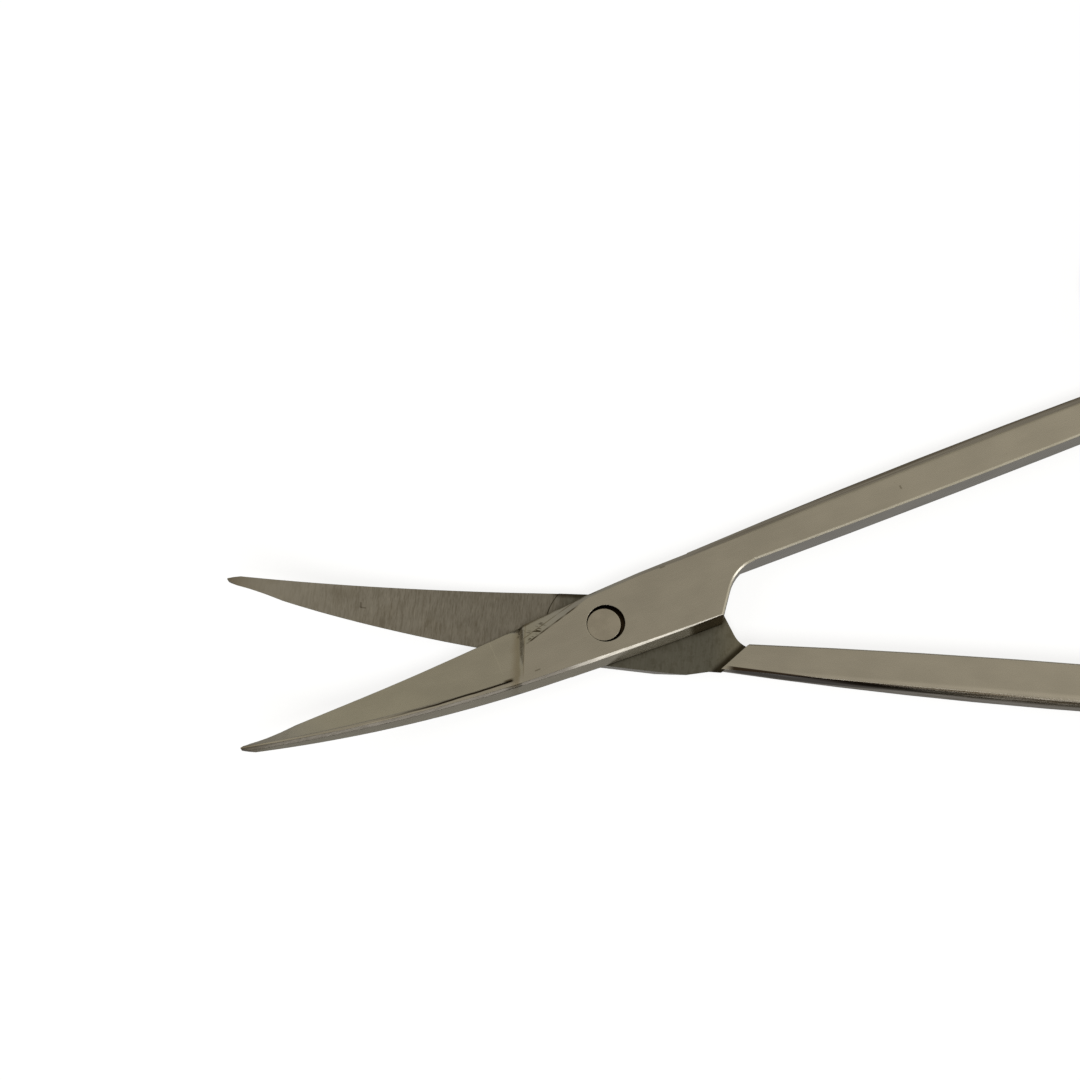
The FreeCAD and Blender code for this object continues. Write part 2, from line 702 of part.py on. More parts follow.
    path = new_sketch(body, name + "_ring_path", "XY_Plane")
    corners = [
        (ring_x, ring_y - half_wide, side_radius, 1),
        (ring_x + join_x, ring_y - join_y, size.ring_end_radius, 1),
        (ring_x + join_x, ring_y + join_y, side_radius, 1),
        (ring_x - join_x, ring_y + join_y, size.ring_end_radius, 1),
        (ring_x - join_x, ring_y - join_y, side_radius, 1),
    ]
    draw_outline(path, handed(corners, hand))

    bar = new_sketch(body, name + "_ring_bar", "YZ_Plane", ring_x)
    bar_y = ring_y - half_wide
    wide, tall = size.ring_bar / 2, size.ring_height / 2
    near_y, near_z = wide - size.ring_corner, tall - size.ring_corner
    corners = [
        (bar_y - near_y, -tall),
        (bar_y + near_y, -tall, size.ring_bulge_radius, 1),
        (bar_y + wide, -near_z),
        (bar_y + wide, near_z, size.ring_bulge_radius, 1),
        (bar_y + near_y, tall),
        (bar_y - near_y, tall, size.ring_bulge_radius, 1),
        (bar_y - wide, near_z),
        (bar_y - wide, -near_z, size.ring_bulge_radius, 1),
    ]
    draw_outline(bar, handed(corners, hand, across=0))
    ring = body.newObject("PartDesign::AdditivePipe", name + "_ring")
    ring.Profile = bar
    ring.Spine = (path, [])

    def draw_crotch(sketch):
        start_y = outer_end - size.face_bevel
        start = size.ring_start - size.crotch_start
        end = size.ring_start + size.crotch_end
        corners = [
            (start, start_y, size.crotch_radius, 1),
            (size.ring_start + size.crotch_end / 3, outer_end + size.crotch_rise),
            (end, outer_end + size.crotch_rise / 4),
            (end, start_y),
        ]
        draw_outline(sketch, handed(corners, hand))

    pad(body, name + "_crotch", -size.crotch_height / 2, size.crotch_height / 2, draw_crotch)
    return body


def make_screw():
    """The pivot screw: slotted head underneath, plain end on top."""
    body = doc.addObject("PartDesign::Body", "pivot_screw")
    body.Label = "pivot_screw"
    half = size.joint_thickness + size.ride_gap / 2
    head_low = -half + size.head_sink
    head_high = head_low + size.head_height
    sketch = new_sketch(body, "screw_profile", "XZ_Plane")
    corners = [
        (dim(0), head_low),
        (size.head_radius, head_low),
        (size.head_radius, head_high),
        (size.screw_radius, head_high),
        (size.screw_radius, half - size.end_sink),
        (dim(0), half - size.end_sink),
    ]
    draw_outline(sketch, corners)
    turned = body.newObject("PartDesign::Revolution", "screw_turned")
    turned.Profile = sketch
    turned.ReferenceAxis = (sketch, ["V_Axis"])
    turned.Angle = 360

    def draw_slot(sketch):
        long, wide = size.head_radius + OVERRUN * 2, size.slot_width / 2
        draw_outline(sketch, [(-long, -wide), (long, -wide), (long, wide), (-long, wide)])

    pocket(body, "screw_slot", head_low - OVERRUN, head_low + size.slot_depth, draw_slot)
    return body


def drill(body, name, low, high, x, y, radius):
    pocket(body, name, low, high, lambda sketch: draw_circle(sketch, x, y, radius))


upper = make_half(
    "upper_half",
    1,
    size.upper_inner_start,
    (size.upper_outer_start, size.upper_outer_middle, size.upper_outer_end),
    size.back_bevel,
    size.shank_start,
    (size.joint_rear, size.shoulder_run, size.shoulder_rise, size.shoulder_radius),
)
lower = make_half(
    "lower_half",
    -1,
    size.lower_inner_start,
    (size.lower_outer_start, size.lower_outer_middle, size.lower_outer_end),
    size.lower_back_start,
    size.lower_corner,
    (
        size.joint_rear - size.lower_setback,
        size.lower_shoulder_run,
        size.lower_shoulder_rise,
        size.lower_shoulder_radius,
    ),
)
screw = make_screw()

half = size.joint_thickness + size.ride_gap / 2
drill(upper, "upper_hole", -half, half + OVERRUN, 0, 0, size.screw_radius)
drill(
    upper,
    "upper_recess",
    half - size.recess_depth,
    half + OVERRUN,
    size.recess_shift,
    size.recess_shift / 4,
    size.recess_radius,
)
drill(lower, "lower_hole", -half - OVERRUN, half, 0, 0, size.screw_radius + size.screw_clearance)
head_seat = -half + size.head_sink + size.head_height + size.head_clearance
drill(lower, "lower_seat", -half - OVERRUN, head_seat, 0, 0, size.head_radius + size.head_clearance)

half_open = size.open_angle / 2
for body, turn in ((upper, half_open), (lower, -half_open), (screw, half_open)):
    body.setExpression("Placement.Base.z", half.text)
    body.setExpression("Placement.Rotation.Angle", turn.text)
doc.recompute()

for item in doc.Objects:
    if "Invalid" in item.State or "Error" in item.State:
        raise RuntimeError(f"{item.Name} failed: {item.State}")
os.makedirs("parts", exist_ok=True)
for body in (upper, lower, screw):
    if body.Shape.isNull() or not body.Shape.isValid() or len(body.Shape.Solids) != 1:
        raise RuntimeError(f"{body.Label} isn't one valid solid")
    body.Shape.exportStep(f"parts/{body.Label}.step")
    print(body.Label, round(body.Shape.Volume, 1), "mm3")
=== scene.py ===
import math

import bpy
from mathutils import Matrix, Vector


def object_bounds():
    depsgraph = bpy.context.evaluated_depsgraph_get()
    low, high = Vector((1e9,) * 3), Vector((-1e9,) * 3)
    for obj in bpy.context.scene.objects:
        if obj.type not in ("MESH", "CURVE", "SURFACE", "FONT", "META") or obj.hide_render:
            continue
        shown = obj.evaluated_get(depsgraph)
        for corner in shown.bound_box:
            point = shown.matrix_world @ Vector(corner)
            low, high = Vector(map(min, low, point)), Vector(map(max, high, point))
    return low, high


# Lengths are in metres, the frame's unit. A material's own coordinates are in millimetres.
MM = 0.001
HALF_OPEN = math.radians(27.4 / 2)

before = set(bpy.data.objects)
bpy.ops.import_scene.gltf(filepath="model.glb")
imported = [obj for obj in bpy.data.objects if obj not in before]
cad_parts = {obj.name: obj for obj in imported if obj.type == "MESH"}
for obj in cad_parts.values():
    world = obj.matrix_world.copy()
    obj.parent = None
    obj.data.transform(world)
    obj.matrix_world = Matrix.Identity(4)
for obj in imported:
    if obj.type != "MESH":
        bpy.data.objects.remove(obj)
cad_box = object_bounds()
scene = bpy.context.scene


# Camera: the photograph's place and angle, found from the object's own lines.
ELEVATION = 1.20428
AZIMUTH = -0.01993
ROLL = -0.12815
TARGET = Vector((-5.12881, 10.74034, 1.63)) * MM
DISTANCE = 200 * MM
FOCAL_PIXELS = 1914.83
FRAME_PIXELS = 1080
SENSOR = 36.0
CLIP_START = 0.01


def make_camera():
    back = Vector((
        math.sin(AZIMUTH) * math.cos(ELEVATION),
        -math.cos(AZIMUTH) * math.cos(ELEVATION),
        math.sin(ELEVATION),
    ))
    level = Vector((math.cos(AZIMUTH), math.sin(AZIMUTH), 0))
    level_up = back.cross(level)
    right = math.cos(ROLL) * level + math.sin(ROLL) * level_up
    up = math.cos(ROLL) * level_up - math.sin(ROLL) * level
    data = bpy.data.cameras.new("camera")
    data.sensor_width = SENSOR
    data.lens = FOCAL_PIXELS / FRAME_PIXELS * SENSOR
    data.clip_start = CLIP_START
    camera = bpy.data.objects.new("camera", data)
    turn = Matrix((right, up, back)).transposed().to_4x4()
    camera.matrix_world = Matrix.Translation(TARGET + back * DISTANCE) @ turn
    scene.collection.objects.link(camera)
    scene.camera = camera


class Nodes:
    """A short way to write a node tree. A value may be a number, a vector or another node's output."""

    # The colour sockets of a Mix node, by number, since it has several sockets of the same name.
    MIX_FACTOR, MIX_FIRST, MIX_SECOND, MIX_RESULT = 0, 6, 7, 2

    def __init__(self, owner):
        owner.use_nodes = True
        self.tree = owner.node_tree
        self.tree.nodes.clear()

    def add(self, kind, inputs=None, **settings):
        node = self.tree.nodes.new("ShaderNode" + kind)
        for name, value in settings.items():
            setattr(node, name, value)
        for name, value in (inputs or {}).items():
            if isinstance(value, bpy.types.NodeSocket):
                self.tree.links.new(value, node.inputs[name])
            else:
                node.inputs[name].default_value = value
        return node

    def math(self, operation, *values):
        return self.add("Math", dict(enumerate(values)), operation=operation).outputs[0]

    def vector(self, operation, *values):
        return self.add("VectorMath", dict(enumerate(values)), operation=operation).outputs["Vector"]

    def sum(self, *values):
        total = values[0]
        for value in values[1:]:
            total = self.math("ADD", total, value)
        return total

    def product(self, *values):
        total = values[0]
        for value in values[1:]:
            total = self.math("MULTIPLY", total, value)
        return total

    def scaled(self, value, factor, offset=0.0):
        return self.math("MULTIPLY_ADD", value, factor, offset)

    def rest(self, value):
        """What is left of 1."""
        return self.math("SUBTRACT", 1.0, value)

    def radius(self, x, y):
        return self.math("SQRT", self.sum(self.product(x, x), self.product(y, y)))

    def smooth(self, value, span, low=0.0, high=1.0):
        """Goes softly from low at the span's first number to high at its second."""
        start, end = span
        inputs = {"Value": value, "From Min": start, "From Max": end, "To Min": low, "To Max": high}
        return self.add("MapRange", inputs, interpolation_type="SMOOTHSTEP").outputs["Result"]

    def fade(self, value, span, left=0.0):
        """Goes softly from 1 at the span's first number to what is left at its second."""
        return self.smooth(value, span, 1.0, left)

    def line(self, value, place, half_width, soft):
        """1 where the value is within half_width of place, and 0 past the soft edge."""
        away = self.math("ABSOLUTE", self.math("SUBTRACT", value, place))
        return self.fade(away, (half_width, half_width + soft))

    def ramp(self, value, stops):
        node = self.add("ValToRGB", {"Fac": value})
        points = node.color_ramp.elements
        while len(points) < len(stops):
            points.new(0.5)
        for point, (place, colour) in zip(points, stops):
            point.position = place
            point.color = (*colour, 1)
        return node.outputs["Color"]

    def noise(self, place, grain, detail, roughness=0.5):
        """Even noise, 0 to 1. Its grain is in cycles per millimetre along each axis."""
        inputs = {
            "Vector": self.vector("MULTIPLY", place, grain),
            "Scale": 1.0,
            "Detail": detail,
            "Roughness": roughness,
        }
        return self.add("TexNoise", inputs).outputs["Fac"]

    def patches(self, place, span, **pattern):
        """Noise that is cut to soft patches, 0 at the span's first number and 1 at its second."""
        return self.smooth(self.noise(place, **pattern), span)

    def wobble(self, place, reach, **pattern):
        """Noise that moves a line to either side by its reach at most."""
        return self.scaled(self.noise(place, **pattern), 2 * reach, -reach)

    def turned(self, vector, angle):
        """A vector turned about the Z axis."""
        inputs = {"Vector": vector, "Angle": angle}
        return self.add("VectorRotate", inputs, rotation_type="Z_AXIS").outputs[0]

    def mix(self, factor, first, second, blend="MIX"):
        inputs = {self.MIX_FACTOR: factor, self.MIX_FIRST: first, self.MIX_SECOND: second}
        node = self.add("Mix", inputs, data_type="RGBA", blend_type=blend)
        return node.outputs[self.MIX_RESULT]

    def tint(self, colour, factor, multiplier):
        """Multiplies a colour by multiplier where factor is 1."""
        return self.mix(factor, colour, (*multiplier, 1), "MULTIPLY")


# Surroundings, as the bare steel mirrors them: colours from straight down to straight up.
SURROUNDINGS = (
    (0.00, (0.26, 0.253, 0.24)),
    (0.08, (0.25, 0.243, 0.225)),
    (0.17, (0.30, 0.285, 0.24)),
    (0.33, (0.25, 0.232, 0.19)),
    (0.50, (0.34, 0.32, 0.26)),
    (0.72, (0.33, 0.303, 0.217)),
    (0.90, (0.335, 0.303, 0.231)),
    (1.00, (0.345, 0.312, 0.24)),
)

# Directions in the room are parts of a unit vector: X to the handles, Y away from the front, Z up.
# The room grows brighter towards the handles.
EAST_START = 0.06
EAST_GAIN = 1.35
EAST_HEIGHT = (-0.3, 0.2)

# It is darker below the horizon in front. The dark part ends along a slanted line.
DARK_SLANT = 1.2
DARK_SIDE = (-0.68, -0.50)
DARK_TOP = (-0.02, 0.04)
DARK_FRONT = (-0.1, -0.35)
DARK_HEIGHT = (-0.5, -0.05)
DARK_DEEPEST, DARK_SHALLOWEST = -0.93, -0.62

# A low bright window in front, and a bright spot towards the handles.
WINDOW_BOTTOM = (0.03, 0.08)
WINDOW_TOP = (0.17, 0.31)
WINDOW_FRONT = (-0.78, -0.6)
WINDOW_EAST = (0.36, 0.50)
WINDOW_STRENGTH = 1.5
WINDOW_COLOUR = (1.0, 0.98, 0.94, 1)
SPOT_DIRECTION = (0.84, -0.51, 0.18)
SPOT_EDGE = (0.95, 0.99)
WHITE = (1, 1, 1, 1)


def make_world():
    """A dim warm room with a bright low window in front, and plain white where the camera sees it."""
    world = bpy.data.worlds.new("room")
    scene.world = world
    nodes = Nodes(world)
    place = nodes.add("TexCoord").outputs["Generated"]
    split = nodes.add("SeparateXYZ", {"Vector": place}).outputs
    x, y, z = (split[name] for name in "XYZ")
    room = nodes.ramp(nodes.scaled(z, 0.5, 0.5), SURROUNDINGS)
    slanted = nodes.math("SUBTRACT", z, nodes.scaled(x, DARK_SLANT))
    shallow = nodes.product(nodes.smooth(slanted, DARK_SIDE), nodes.fade(z, DARK_TOP))
    depth = nodes.smooth(z, DARK_HEIGHT, DARK_DEEPEST, DARK_SHALLOWEST)
    shade = nodes.product(shallow, nodes.smooth(y, DARK_FRONT), depth)
    eastward = nodes.math("MAXIMUM", nodes.math("SUBTRACT", x, EAST_START), 0.0)
    gain = nodes.product(eastward, nodes.smooth(z, EAST_HEIGHT), EAST_GAIN)
    strength = nodes.product(nodes.math("ADD", gain, 1.0), nodes.math("ADD", shade, 1.0))
    level = nodes.product(nodes.smooth(z, WINDOW_BOTTOM), nodes.fade(z, WINDOW_TOP))
    front = nodes.product(nodes.fade(y, WINDOW_FRONT), nodes.fade(x, WINDOW_EAST))
    towards = nodes.add("VectorMath", {0: place, 1: SPOT_DIRECTION}, operation="DOT_PRODUCT")
    spot = nodes.smooth(towards.outputs["Value"], SPOT_EDGE)
    window = nodes.product(nodes.math("MAXIMUM", nodes.product(level, front), spot), WINDOW_STRENGTH)
    dim = nodes.add("Background", {"Color": room, "Strength": strength}).outputs[0]
    bright = nodes.add("Background", {"Color": WINDOW_COLOUR, "Strength": window}).outputs[0]
    both = nodes.add("AddShader", {0: dim, 1: bright}).outputs[0]
    white = nodes.add("Background", {"Color": WHITE, "Strength": 1.0}).outputs[0]
    seen = nodes.add("LightPath").outputs["Is Camera Ray"]
    mixed = nodes.add("MixShader", {0: seen, 1: both, 2: white}).outputs[0]
    nodes.add("OutputWorld", {"Surface": mixed})


FLOOR_HALF = 1.5
FLOOR_DROP = 0.05 * MM
FLOOR_GREY = (0.8, 0.8, 0.8, 1)
FLOOR_GLOW = 0.82


def make_floor():
    """A white floor that keeps the shadow. The steel mirrors the room under it, not the floor."""
    mesh = bpy.data.meshes.new("floor")
    corners = [(x * FLOOR_HALF, y * FLOOR_HALF, 0) for x, y in ((-1, -1), (1, -1), (1, 1), (-1, 1))]
    mesh.from_pydata(corners, [], [(0, 1, 2, 3)])
    floor = bpy.data.objects.new("floor", mesh)
    floor.location.z = cad_box[0][2] - FLOOR_DROP
    scene.collection.objects.link(floor)
    material = bpy.data.materials.new("floor")
    nodes = Nodes(material)
    diffuse = nodes.add("BsdfDiffuse", {"Color": FLOOR_GREY}).outputs[0]
    glow = nodes.add("Emission", {"Color": WHITE, "Strength": 1.0}).outputs[0]
    path = nodes.add("LightPath").outputs
    lit = nodes.product(path["Is Camera Ray"], FLOOR_GLOW)
    shown = nodes.add("MixShader", {0: lit, 1: diffuse, 2: glow}).outputs[0]
    clear = nodes.add("BsdfTransparent").outputs[0]
    below = nodes.add("NewGeometry").outputs["Backfacing"]
    hidden = nodes.math("MAXIMUM", path["Is Glossy Ray"], below)
    mixed = nodes.add("MixShader", {0: hidden, 1: shown, 2: clear}).outputs[0]
    nodes.add("OutputMaterial", {"Surface": mixed})
    mesh.materials.append(material)


# Each lamp's name, place, size and power.
LAMP_AIM = Vector((0.01, 0, 0))
LAMPS = (
    ("front_lamp", (0.0, -0.55, 0.75), (0.5, 0.35), 9),
    ("side_lamp", (-0.8, 0.1, 0.6), (0.5, 0.5), 5),
)


def make_lamp(name, place, size, power):
    """A soft lamp for the floor and its shadow. The steel mirrors the room instead."""
    data = bpy.data.lights.new(name, "AREA")
    data.shape = "RECTANGLE"
    data.size, data.size_y = size
    data.energy = power
    lamp = bpy.data.objects.new(name, data)
    lamp.location = place
    lamp.rotation_euler = (LAMP_AIM - Vector(place)).to_track_quat("-Z", "Y").to_euler()
    lamp.visible_glossy = False
    scene.collection.objects.link(lamp)


# Bare steel, in each half's own frame: X along the handles, Y towards its handle's side, Z towards its
# outer face, in millimetres from the pivot. A direction that a face turns to is a part of its unit normal.
STEEL = (0.62, 0.60, 0.57)
TONES = (0.95, 1.04)
TO_MM = (1000, 1000, 1000)
PIVOT_HEIGHT = 1.63
PIN_RADIUS = 1.7
EDGE_ROUND = 0.09
HEEL_ROUND = 0.5

# Faces by the side that they turn to.
TURNED_IN = (-0.9, -0.75)
TURNED_OUT = (0.2, 0.4)
TURNED_UP = (0.5, 0.8)
SHANK_END = (57, 61)

# Patterns of noise: how fine they are along the half, across it and through it, and where they are cut.
CLOUDS = {"grain": (0.25, 0.5, 0.5), "detail": 3, "span": (0.25, 0.75)}
SPECKS = {"grain": (6, 6, 6), "detail": 1, "span": (0.76, 0.82)}
COARSE_GRINDING = {"grain": (5.0, 0.5, 0.3), "detail": 4, "roughness": 0.7}
FINE_GRINDING = {"grain": (17, 1.6, 0.6), "detail": 2, "roughness": 0.6}
BRUSHING = {"grain": (0.5, 14, 14), "detail": 2, "roughness": 0.6}
SCRATCHES = {"grain": (0.08, 22, 22), "detail": 1, "span": (0.74, 0.80)}
BLADE_PATCHES = {"grain": (0.35, 0.5, 0.4), "detail": 2, "span": (0.5, 0.68)}
RIDE_MOTTLE = {"grain": (1.6, 1.1, 1.0), "detail": 4, "roughness": 0.65, "span": (0.48, 0.62)}
BEVEL_STREAKS = {"grain": (0.05, 4.5, 4.5), "detail": 3, "roughness": 0.6, "span": (0.5, 0.62)}
SIDE_STREAKS = {"grain": (0.12, 5.5, 5.5), "detail": 3, "roughness": 0.6, "span": (0.42, 0.58)}
HEEL_SPOTS = {"grain": (2.2, 1.1, 1.0), "detail": 3, "roughness": 0.7, "span": (0.5, 0.6)}
WEDGE_STROKES = {"grain": (0.9, 5.0, 1.0), "detail": 2, "roughness": 0.6, "span": (0.53, 0.58)}
RIDE_WOBBLE = {"grain": (0.5, 0.5, 0.5), "detail": 2, "reach": 0.8}
HEEL_WOBBLE = {"grain": (0.9, 0.9, 0.9), "detail": 2, "reach": 0.35}
SHOULDER_WOBBLE = {"grain": (0.5, 0.1, 0.1), "detail": 3, "reach": 0.08}
WEDGE_UNEVEN = {"grain": (0.8, 0.8, 0.8), "detail": 3}
SCREW_CLOUDS = {"grain": (0.8, 0.8, 0.8), "detail": 3, "span": (0.3, 0.7)}

# Light that each place leaves, in red, green and blue. More than 1 makes it lighter.
SPECK_TINT = (0.72, 0.68, 0.62)
BLADE_TINT = (0.62, 0.62, 0.64)
DARK_GRIND_TINT = (0.74, 0.72, 0.68)
LIGHT_GRIND_TINT = (1.22, 1.2, 1.16)
BLADE_PATCH_TINT = (0.93, 0.92, 0.90)
RIDE_TINT = (0.37, 0.385, 0.385)
RIDE_REAR_TINT = (1.35, 1.3, 1.2)
RIDE_GRIND_TINT = (0.88, 0.88, 0.86)
RIDE_MOTTLE_TINT = (0.86, 0.85, 0.82)
RELIEF_TINT = (0.35, 0.33, 0.28)
EDGE_STAIN_TINT = (0.40, 0.36, 0.31)
TIP_TINT = (0.62, 0.58, 0.52)
STEP_SHADE_TINT = (0.24, 0.21, 0.17)
BEVEL_TINT = (0.90, 0.87, 0.84)
BEVEL_STREAK_TINT = (0.60, 0.56, 0.50)
RIDGE_TINT = (0.55, 0.50, 0.43)
SPINE_BEVEL_SHADE_TINT = (0.30, 0.29, 0.28)
# Painted light on the joint's wall.
WALL_LIGHT_TINT = (1.55, 1.55, 1.6)
# Painted dark reflection on the joint's wall further back.
WALL_DARK_REFLECTION_TINT = (0.40, 0.35, 0.28)
BLACK_SIDE_TINT = (0.12, 0.09, 0.07)
SIDE_STREAK_TINT = (0.45, 0.40, 0.33)
# Painted highlight along the rim of the lower half's shank.
RIM_HIGHLIGHT_TINT = (1.22, 1.22, 1.24)
HEEL_SHADE_TINT = (0.78, 0.74, 0.67)
HEEL_SPOT_TINT = (0.20, 0.16, 0.12)
HEEL_LINE_TINT = (0.78, 0.74, 0.68)
SHOULDER_TINT = (0.07, 0.055, 0.04)
SHOULDER_END_TINT = (0.25, 0.21, 0.16)
WEDGE_BORDER_TINT = (0.18, 0.15, 0.11)
WEDGE_INNER_TINT = (0.55, 0.50, 0.42)
WEDGE_STROKE_TINT = (0.20, 0.17, 0.13)
JOINT_RIM_SHADE_TINT = (0.35, 0.31, 0.25)
RECESS_SHADE_TINT = (0.12, 0.09, 0.065)
CREVICE_SHADE_TINT = (0.42, 0.39, 0.33)
PIN_SIDE_SHADE_TINT = (0.16, 0.13, 0.10)

# The ground inner faces. The ride face runs into the blade's own grinding on the blade's side of the pivot.
RIDE_START = (-6.3, -2.9)
RIDE_HEIGHT = (-0.5, -0.4)
RIDE_REAR = (10.5, 14.0)
BLADE_START = (-2.9, -5.0)
COARSE_SHARE, FINE_SHARE = 0.6, 0.4
DARK_GRIND = (0.44, 0.60)
LIGHT_GRIND = (0.42, 0.34)
RIDE_GRIND = (0.40, 0.6)
WORN_POINT = (-36, -22)
WORN_POINT_LEFT = 0.25
RELIEF_RADIUS = 6.1
RELIEF_HALF_WIDTH, RELIEF_SOFT = 0.03, 0.05
RELIEF_END = (-3.0, -4.0)
EDGE_STAIN_ACROSS = (-2.9, -3.4)
EDGE_STAIN_START = (-6.4, -4.6)
EDGE_STAIN_END = (0.0, -1.0)
TIP = (-34.5, -38.5)

# The step, from its outer end to its inner end, and the hollow at its foot, where shade is painted.
STEP_NEAR = (12.1, 3.75)
STEP_FAR = (14.9, 0.7)
STEP_FRONT = (-0.02, 0.0)
STEP_FADE = (0.55, 1.15)
STEP_BOTTOM = (-0.95, -0.9)
STEP_TOP = (0.1, 0.05)
STEP_START = (11.0, 11.4)

# Bevels of the shank, and the spine's bevel and wall, with painted shade on the bevel and painted light and
# a painted dark reflection on the wall.
SIDEWAYS = (0.35, 0.55)
BEHIND_JOINT = (3.0, 9.0)
RIDGE_TOP = (1.0, 0.6)
RIDGE_BOTTOM = (0.2, 0.45)
RIDGE_START = (14, 34)
SPINE_SIDE = (-0.55, -0.68)
SPINE_BEVEL_TURN = (0.4, 0.5)
SPINE_WALL_TURN = (0.5, 0.4)
SPINE_BEVEL_START = (-1.0, -6.0)
WALL_LIGHT_START = (-1.0, 1.5)
WALL_LIGHT_END = (8.5, 7.7)
WALL_DARK_REFLECTION_START = (7.7, 8.5)
WALL_DARK_REFLECTION_END = (14.0, 13.0)

# The lower half's dark side, and the strip and the painted highlight along the rim of its shank's top face.
DARK_SIDE_TURN = (0.30, 0.45)
DARK_SIDE_START = (12.5, 14.0)
DARK_SIDE_DROP = (20, 32)
DARK_SIDE_DROP_HEIGHT = 0.85
DARK_SIDE_TOP = (0.35, 0.0)
DARK_SIDE_NEAR = (26, 36)
STRIP_SLOPE, STRIP_OFFSET = 0.052, 2.628
STRIP_EDGE = (-0.03, 0.05)
STRIP_START = (12.5, 13.5)
STRIP_END = (27, 23)
STRIP_HEIGHT = (-1.4, -1.5)
RIM_HIGHLIGHT_ACROSS = (3.25, 3.7)
RIM_HIGHLIGHT_START = (17, 22)
RIM_HIGHLIGHT_HEIGHT = (-1.5, -1.6)

# The heel: a slanted line across the blade, where the hollow of the ground bevel begins and shade is
# painted in it.
HEEL_PLACE = 8.75
HEEL_SKEW = 0.43
HEEL_BLADE = (-7.0, -7.2)
HEEL_SHADE_START = (0.25, 0.55)
HEEL_SHADE_END = (0.7, 1.7)
HOLLOW_START = (0.0, 0.2)
HOLLOW_END = (0.9, 2.4)
SOFT_RIDGE_ACROSS = (2.9, 3.4)
SOFT_RIDGE_START = (12, 22)
SOFT_RIDGE_SHARE = 0.8
SPOTS_INNER, SPOTS_OUTER = (0.9, 1.5), (3.3, 2.7)
SPOTS_START, SPOTS_END = (0.1, 0.3), (0.7, 0.9)
HEEL_LINE_HALF_WIDTH, HEEL_LINE_SOFT = 0.02, 0.06
HEEL_LINE_ACROSS = (-2.4, -1.4)

# The ground bevel's shoulder: a curved line along the blade, from the heel on.
SHOULDER_START = 10.9
SHOULDER_OFFSET, SHOULDER_SLOPE, SHOULDER_CURVE = -2.03, 0.044, 0.00105
SHOULDER_HEEL = (-0.25, 0.0)
SHOULDER_FADE = (7.0, 15.0)
SHOULDER_LEFT = 0.25
SHOULDER_AWAY, SHOULDER_HALF_WIDTH, SHOULDER_SOFT = 0.04, 0.06, 0.07
SHOULDER_END_ALONG = (0.25, 0.2, 0.5)
SHOULDER_END_ACROSS = (0.12, 0.08, 0.25)

# The wedge facet beside the heel: its straight border, the lines along it and the strokes inside it.
WEDGE_OFFSET, WEDGE_SLOPE = 3.384, 0.2846
WEDGE_START, WEDGE_END = (-8.2, -7.9), (-1.2, -2.4)
WEDGE_UNEVEN_SPAN = (0.3, 0.6)
WEDGE_UNEVEN_LEAST = 0.3
WEDGE_BORDER_LINE = (0.0, 0.04, 0.08)
WEDGE_INNER_LINE = (0.75, 0.02, 0.07)
STROKE_LEAN = math.radians(38)
STROKES_START, STROKES_END = (-8.0, -7.6), (-5.3, -6.0)
STROKES_INNER, STROKES_OUTER = (0.1, 0.25), (1.35, 1.0)
# Painted shade along the joint's outer rim.
JOINT_RIM_CURVE = 0.0078
JOINT_RIM_ACROSS = (3.5, 3.72)
JOINT_RIM_START, JOINT_RIM_END = (-8.3, -8.0), (1.5, 0.0)

# The recess round the pin, where shade is painted.
RECESS_EDGE = (2.6, 2.5)
RECESS_TOP = (1.60, 1.50)
RECESS_BOTTOM = (0.3, 0.4)

# Soft painted shade in crevices.
CREVICE_REACH = 0.9 * MM
CREVICE_SPAN = (0.35, 0.95)
CREVICE_HOLLOW_SHARE = 0.7

# Relief of the surface and its roughness.
BRUSH_HEIGHT, GRIND_HEIGHT, SCRATCH_HEIGHT = 0.35, 1.6, -0.5
BUMP_STRENGTH = 0.5
BUMP_DISTANCE = 0.004 * MM
BRUSH_SPAN = (0.3, 0.7)
SMOOTHEST, ROUGHEST = 0.20, 0.30
GROUND_ROUGHER = 0.16

# Nicks: place along and across the half, length, width, and how much light is left.
UPPER_MARKS = (
    (34.1, 2.05, 0.1, 0.35, 0.65),
    (7.9, 3.45, 0.5, 0.12, 0.6),
    (-8.0, -1.9, 0.5, 0.05, 0.6),
)
LOWER_MARKS = (
    (-25.0, 0.1, 0.1, 0.5, 0.62),
    (-24.7, 0.35, 0.45, 0.08, 0.62),
)
MARK_SOFT = 0.08
MARK_GREEN, MARK_BLUE = 0.97, 0.92


